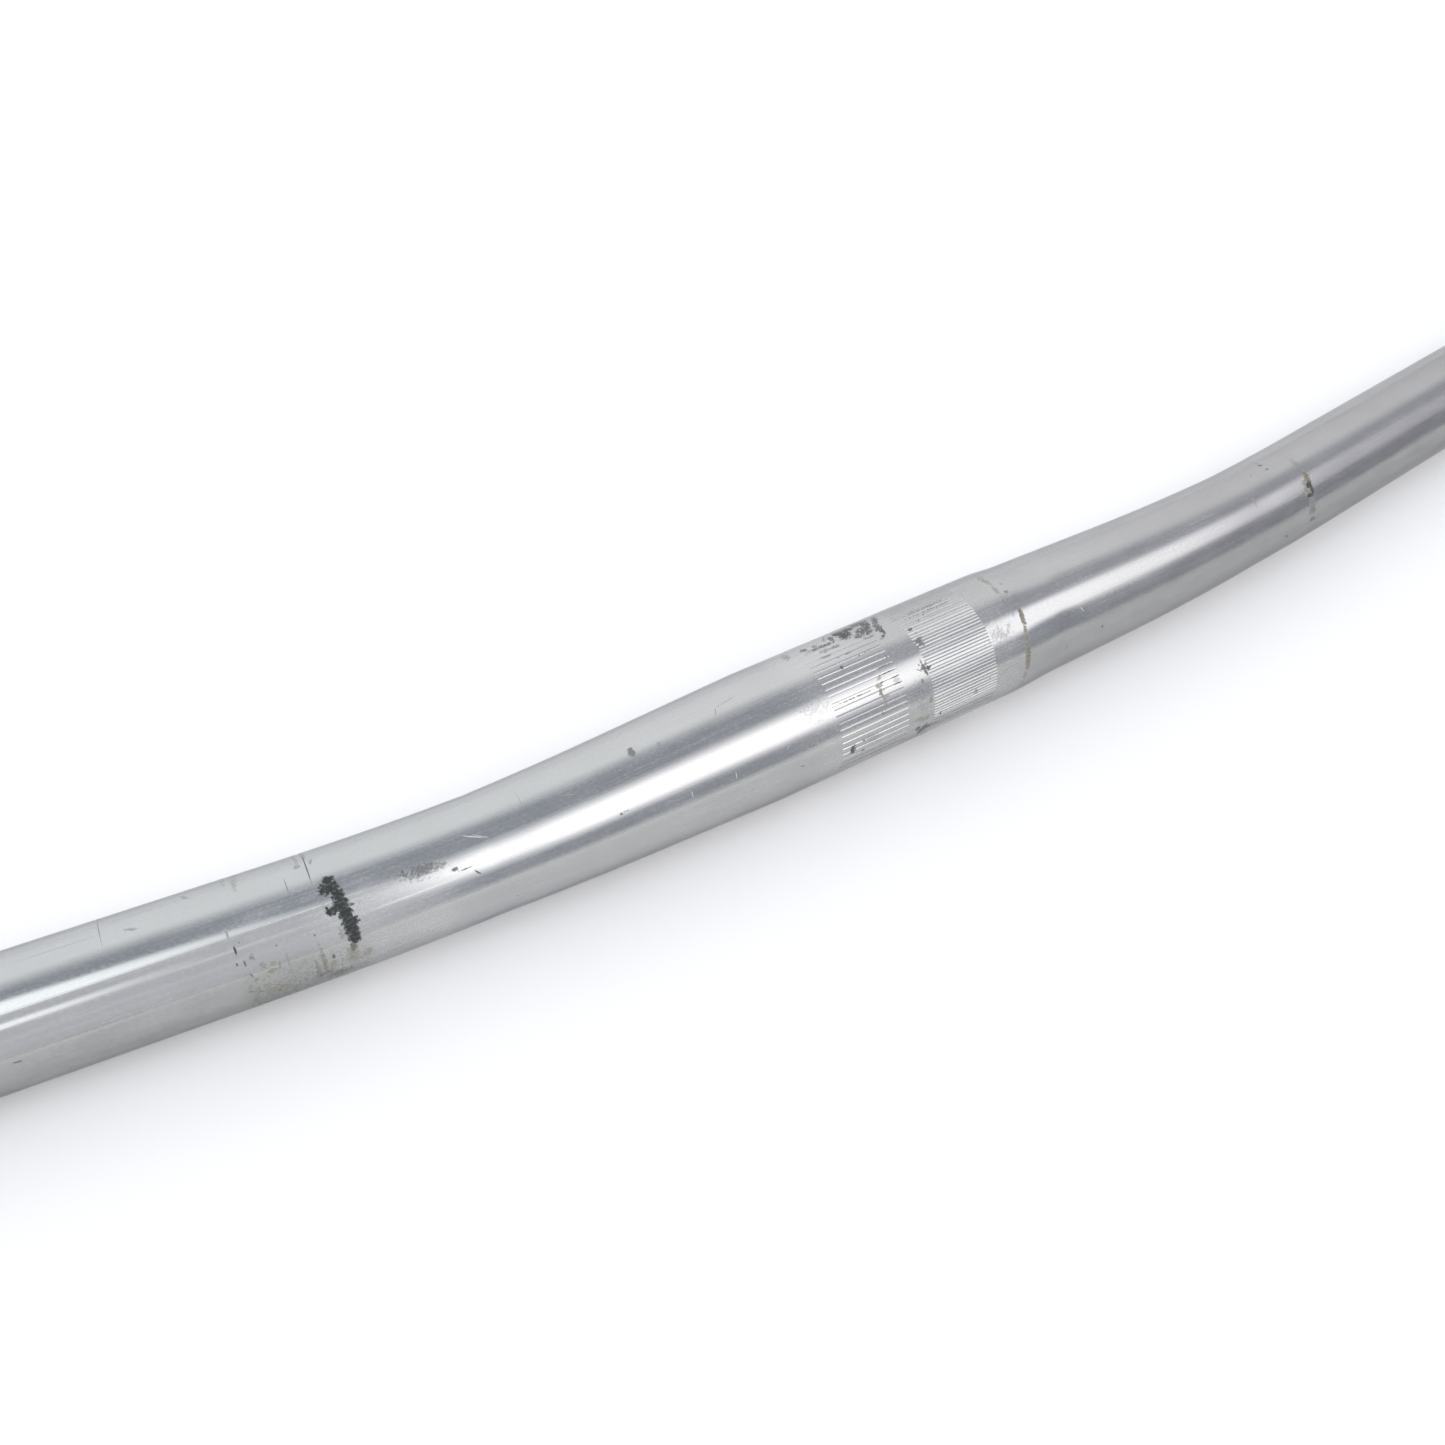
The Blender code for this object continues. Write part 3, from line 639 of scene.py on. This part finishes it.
def bar_material(name, group, start, end):
    """Worn polished aluminium between two stations: metal with painted shade and sheen, film, fine lines and,
    over them, the marks.

    In it, stations and sizes are in millimetres and turns in degrees.
    """
    material = bpy.data.materials.new(name)
    material.use_nodes = True
    nodes = Nodes(material.node_tree)
    place = place_map(nodes)
    parts = nodes.add("ShaderNodeSeparateXYZ", inputs={0: place})
    along = parts.outputs[0]
    turn = nodes.math("DIVIDE", parts.outputs[1], DEGREE)
    cloud = nodes.noise(place, (0.12, 0.22, 1.0), 4.0, 0.6)
    fleck = nodes.noise(place, (1.3, 2.0, 1.0), 4.0, 0.6)
    torn = nodes.noise(place, (1.6, 1.6, 1.0), 5.0, 0.65, 0.6)
    hair = nodes.noise(place, (7.0, 0.12, 1.0), 3.0, 0.6)
    slanted = nodes.add("ShaderNodeVectorRotate", rotation_type="Z_AXIS",
                        inputs={"Vector": place, "Angle": RUB_SLANT})
    rub = nodes.noise(slanted.outputs[0], (2.8, 0.8, 1.0), 4.0, 0.65, 0.6)

    # the metal with its painted shade and sheen, its clouds and lines, under the film
    worn = nodes.mix(nodes.math("MULTIPLY", cloud, 0.22), metal_with_painted_light(nodes, along, turn), CLOUDY)
    worn = nodes.mix(nodes.ramp(hair, 0.56, 0.72, 0.0, 0.12), worn, LINES)
    film = film_share(nodes, place, along, turn, cloud, fleck)
    worn = nodes.mix(film, worn, FILM)

    # the marks, each kind over the one before it: grime is the specks of dirt under the left bend
    span = (start * 1000, end * 1000)
    scratch = marks(nodes, group, place, torn, SCRATCH, *span)
    worn = nodes.mix(scratch, worn, SCRATCHED)
    stain = marks(nodes, group, place, fleck, STAIN, *span)
    worn = nodes.mix(stain, worn, STAINED)
    rubbed = marks(nodes, group, place, torn, RUBBED, *span)
    strokes = nodes.ramp(nodes.math("MULTIPLY_ADD", rubbed, 0.05, rub), 0.42, 0.49)
    rubbed = nodes.math("MULTIPLY", rubbed, strokes)
    worn = nodes.mix(rubbed, worn, RUBBED_METAL)
    grime = nodes.math("MULTIPLY", between(nodes, along, -132, -112, 1.5), nodes.ramp(turn, 144, 178))
    grime = nodes.math("MULTIPLY", grime, nodes.ramp(torn, 0.50, 0.60, 0.10, 0.65))
    worn = nodes.mix(grime, worn, GRIMY)
    earth = marks(nodes, group, place, torn, EARTH, *span)
    worn = nodes.mix(earth, worn, nodes.mix(nodes.ramp(fleck, 0.38, 0.62), *DIRT))
    grease = marks(nodes, group, place, torn, GREASE, *span)
    worn = nodes.mix(grease, worn, nodes.mix(nodes.ramp(fleck, 0.45, 0.66), *BLACK_GREASE))
    cover = grease
    for share in (earth, rubbed, stain, scratch):
        cover = nodes.math("MAXIMUM", cover, share)

    # the film and the marks take away the shine, and the right of the bar is duller
    shader = nodes.add("ShaderNodeBsdfPrincipled")
    nodes.put(shader.inputs["Base Color"], worn)
    metal = nodes.math("SUBTRACT", 1.0, nodes.math("MAXIMUM", film, nodes.math("MULTIPLY", cover, 0.85)))
    nodes.put(shader.inputs["Metallic"], metal)
    rough = nodes.math("MULTIPLY_ADD", fleck, 0.07, 0.05)
    rough = nodes.math("MULTIPLY_ADD", film, 0.22, rough)
    rough = nodes.math("ADD", rough, nodes.ramp(along, 30, 60, 0.0, 0.09))
    rough = nodes.math("MULTIPLY_ADD", cover, 0.45, rough)
    nodes.put(shader.inputs["Roughness"], rough)
    shader.inputs["Specular IOR Level"].default_value = 0.3
    shader.inputs["Specular Tint"].default_value = colour(0.50, 0.50, 0.51)
    bump = nodes.add("ShaderNodeBump", inputs={"Strength": 1.0, "Distance": FINE_HEIGHT, "Height": fleck})
    nodes.put(shader.inputs["Normal"], bump.outputs[0])
    output = nodes.add("ShaderNodeOutputMaterial")
    nodes.put(output.inputs[0], shader.outputs[0])
    return material


# The dark and the light streaks inside the tube
BORE_METAL = (colour(0.36, 0.36, 0.36), colour(0.52, 0.52, 0.52))


def bore_material():
    """The dull drawn inside of the tube."""
    material = bpy.data.materials.new("drawn_aluminium")
    material.use_nodes = True
    nodes = Nodes(material.node_tree)
    place = place_map(nodes)
    shader = nodes.add("ShaderNodeBsdfPrincipled")
    streak = nodes.noise(place, (0.05, 3.0, 1.0), 3.0)
    nodes.put(shader.inputs["Base Color"], nodes.mix(streak, *BORE_METAL))
    shader.inputs["Metallic"].default_value = 1.0
    nodes.put(shader.inputs["Roughness"], nodes.math("MULTIPLY_ADD", streak, 0.2, 0.3))
    output = nodes.add("ShaderNodeOutputMaterial")
    nodes.put(output.inputs[0], shader.outputs[0])
    return material


def build_bar():
    """The bar with a finish for each of its lengths and one for its bore."""
    bar = mesh_object("bar", *tube_mesh())
    group = mark_group()
    for name, start, end in ZONES:
        bar.data.materials.append(bar_material(name, group, start, end))
    bar.data.materials.append(bore_material())
    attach(bar, "root")
    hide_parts("handlebar")


# Half the floor's side in metres, its colour, and the glow that makes its far part white in the picture
FLOOR_REACH = 12.0
FLOOR_COLOUR = colour(0.93, 0.93, 0.93)
FLOOR_GLOW = 0.04
WHITE = colour(1.0, 1.0, 1.0)


def build_floor():
    """A pale floor under the clamp and both ends."""
    mesh = bpy.data.meshes.new("floor")
    signs = ((-1, -1), (1, -1), (1, 1), (-1, 1))
    corners = [(x * FLOOR_REACH, y * FLOOR_REACH, -CLAMP_RADIUS) for x, y in signs]
    mesh.from_pydata(corners, [], [(0, 1, 2, 3)])
    floor = bpy.data.objects.new("floor", mesh)
    bpy.context.scene.collection.objects.link(floor)
    material = bpy.data.materials.new("white_floor")
    material.use_nodes = True
    nodes = Nodes(material.node_tree)
    matt = nodes.add("ShaderNodeBsdfDiffuse", inputs={0: FLOOR_COLOUR})
    path = nodes.add("ShaderNodeLightPath")
    seen = nodes.math("MAXIMUM", path.outputs["Is Camera Ray"], path.outputs["Is Glossy Ray"])
    seen = nodes.math("MAXIMUM", seen, path.outputs["Is Transmission Ray"])
    strength = nodes.math("MULTIPLY", seen, FLOOR_GLOW)
    glow = nodes.add("ShaderNodeEmission", inputs={0: WHITE, 1: strength})
    both = nodes.add("ShaderNodeAddShader", inputs={0: matt.outputs[0], 1: glow.outputs[0]})
    output = nodes.add("ShaderNodeOutputMaterial")
    nodes.put(output.inputs[0], both.outputs[0])
    mesh.materials.append(material)


# The soft lights round the bar, as seen from it. Each lies between two edges, which are angles over the bar
# from the back, in degrees: where the edge lies square to the bar, how it slants along the bar, and how
# soft it is. Its span along the bar is given in cosines: first, its softness, last, its softness.
LIGHTS = [
    ("right haze", (-200, 0, 5), (136, 0, 6), (0.50, 0.15, 2, 0.1), (0.47, 0.49, 0.54)),
    ("back", (-200, 0, 5), (59.5, 4, 15), (-2, 0.1, 2, 0.1), (1.15, 1.17, 1.18)),
    ("back right", (-200, 0, 5), (55, 9, 15), (0.60, 0.22, 2, 0.1), (0.92, 0.92, 0.94)),
    ("left wall", (104, 0, 5), (400, 0, 1.5), (-2, 0.1, 0.07, 0.10), (0.78, 0.78, 0.82)),
    ("right shade", (133, 0, 6), (400, 0, 1.5), (0.69, 0.08, 2, 0.1), (0.30, 0.305, 0.345)),
    ("left strip", (96.8, 85, 5.5), (105.0, 0, 2.5), (-2, 0.1, -0.02, 0.12), (1.92, 1.97, 1.99)),
    ("second strip", (120.0, 0, 2.5), (128.2, 0, 1.5), (-2, 0.1, -0.15, 0.06), (1.9, 1.9, 1.93)),
    ("second strip end", (126.5, 0, 2), (131.0, 0, 2), (-0.14, 0.06, -0.04, 0.04), (1.02, 1.02, 1.06)),
    ("third strip", (146.5, 0, 2), (152.0, 0, 2), (-2, 0.1, -0.05, 0.05), (0.86, 0.86, 0.90)),
    ("glint", (140.6, 0, 0.6), (142.0, 0, 0.6), (0.03, 0.02, 0.11, 0.02), (2.8, 2.7, 2.7)),
    ("right wall", (97, 0, 7), (130, 0, 9), (0.75, 0.05, 2, 0.1), (0.63, 0.62, 0.70)),
    ("window", (112, -3, 17), (146.5, -7, 14), (0.10, 0.09, 0.50, 0.05), (2.9, 2.85, 2.85)),
    ("window end", (113, -18, 7), (171, -53, 7), (0.49, 0.05, 0.755, 0.04), (1.85, 1.84, 1.88)),
    ("sweep", (174.6, 0, 3.0), (400, 0, 1), (-2, 0.1, 2, 0.1), (0.84, 0.84, 0.84)),
]
SURROUND = (0.42, 0.445, 0.50)


def build_world():
    """Soft studio light from all round: a grey-blue surround, a bright back, pale walls and a window.

    Each light is laid over those before it, by the product of four soft steps: one at each end of its span
    along the bar and one at each of its edges.
    """
    world = bpy.data.worlds.new("studio")
    bpy.context.scene.world = world
    world.use_nodes = True
    nodes = Nodes(world.node_tree)
    direction = nodes.add("ShaderNodeTexCoord").outputs["Generated"]
    parts = nodes.add("ShaderNodeSeparateXYZ", inputs={0: direction})
    over = nodes.math("DEGREES", nodes.math("ARCTAN2", parts.outputs[2], parts.outputs[1]))
    along = parts.outputs[0]
    light = colour(*SURROUND)
    for name, low, high, (first, first_soft, last, last_soft), shade in LIGHTS:
        share = nodes.ramp(along, first - first_soft, first + first_soft)
        share = nodes.math("MULTIPLY", share, nodes.ramp(along, last - last_soft, last + last_soft, 1.0, 0.0))
        for (edge, slant, soft), start in ((low, 0.0), (high, 1.0)):
            beyond = nodes.math("SUBTRACT", over, nodes.math("MULTIPLY_ADD", along, slant, edge))
            share = nodes.math("MULTIPLY", share, nodes.ramp(beyond, -soft, soft, start, 1.0 - start))
        light = nodes.mix(share, light, colour(*shade))
    studio = nodes.add("ShaderNodeBackground", inputs={0: light, 1: 1.0})
    # the camera sees plain white past the edge of the floor, and the metal sees the lights
    white = nodes.add("ShaderNodeBackground", inputs={0: WHITE, 1: 1.0})
    path = nodes.add("ShaderNodeLightPath")
    inputs = {0: path.outputs["Is Camera Ray"], 1: studio.outputs[0], 2: white.outputs[0]}
    seen = nodes.add("ShaderNodeMixShader", inputs=inputs)
    output = nodes.add("ShaderNodeOutputWorld")
    nodes.put(output.inputs[0], seen.outputs[0])


# The camera over the level bar, before the bar rolls to rest
CAMERA_PLACE = (-0.14644, -0.14640, 0.21957)
CAMERA_RIGHT = (0.84549, -0.52993, 0.06565)
CAMERA_DOWN = (-0.36647, -0.66528, -0.65047)
CAMERA_AHEAD = (0.38838, 0.52591, -0.75669)
# The focal length and the width of the picture in pixels, and the width of the sensor in millimetres
FOCAL_PIXELS = 1500
PICTURE_PIXELS = 1445
SENSOR_WIDTH = 36.0


def build_camera():
    """The camera at the photograph's angle, rolled with the bar."""
    data = bpy.data.cameras.new("camera")
    data.sensor_width = SENSOR_WIDTH
    data.lens = SENSOR_WIDTH * FOCAL_PIXELS / PICTURE_PIXELS
    data.clip_start = 0.01
    camera = bpy.data.objects.new("camera", data)
    right, down, ahead = (np.array(v) for v in (CAMERA_RIGHT, CAMERA_DOWN, CAMERA_AHEAD))
    turn = Matrix(np.stack([right, -down, -ahead], 1).tolist()).to_4x4()
    place = Matrix.Translation(CAMERA_PLACE) @ turn
    camera.matrix_world = Matrix.Rotation(-ROLL, 4, "X") @ place
    bpy.context.scene.collection.objects.link(camera)
    bpy.context.scene.camera = camera


build_camera()
build_bar()
build_floor()
build_world()
bpy.context.scene.view_settings.view_transform = "Standard"
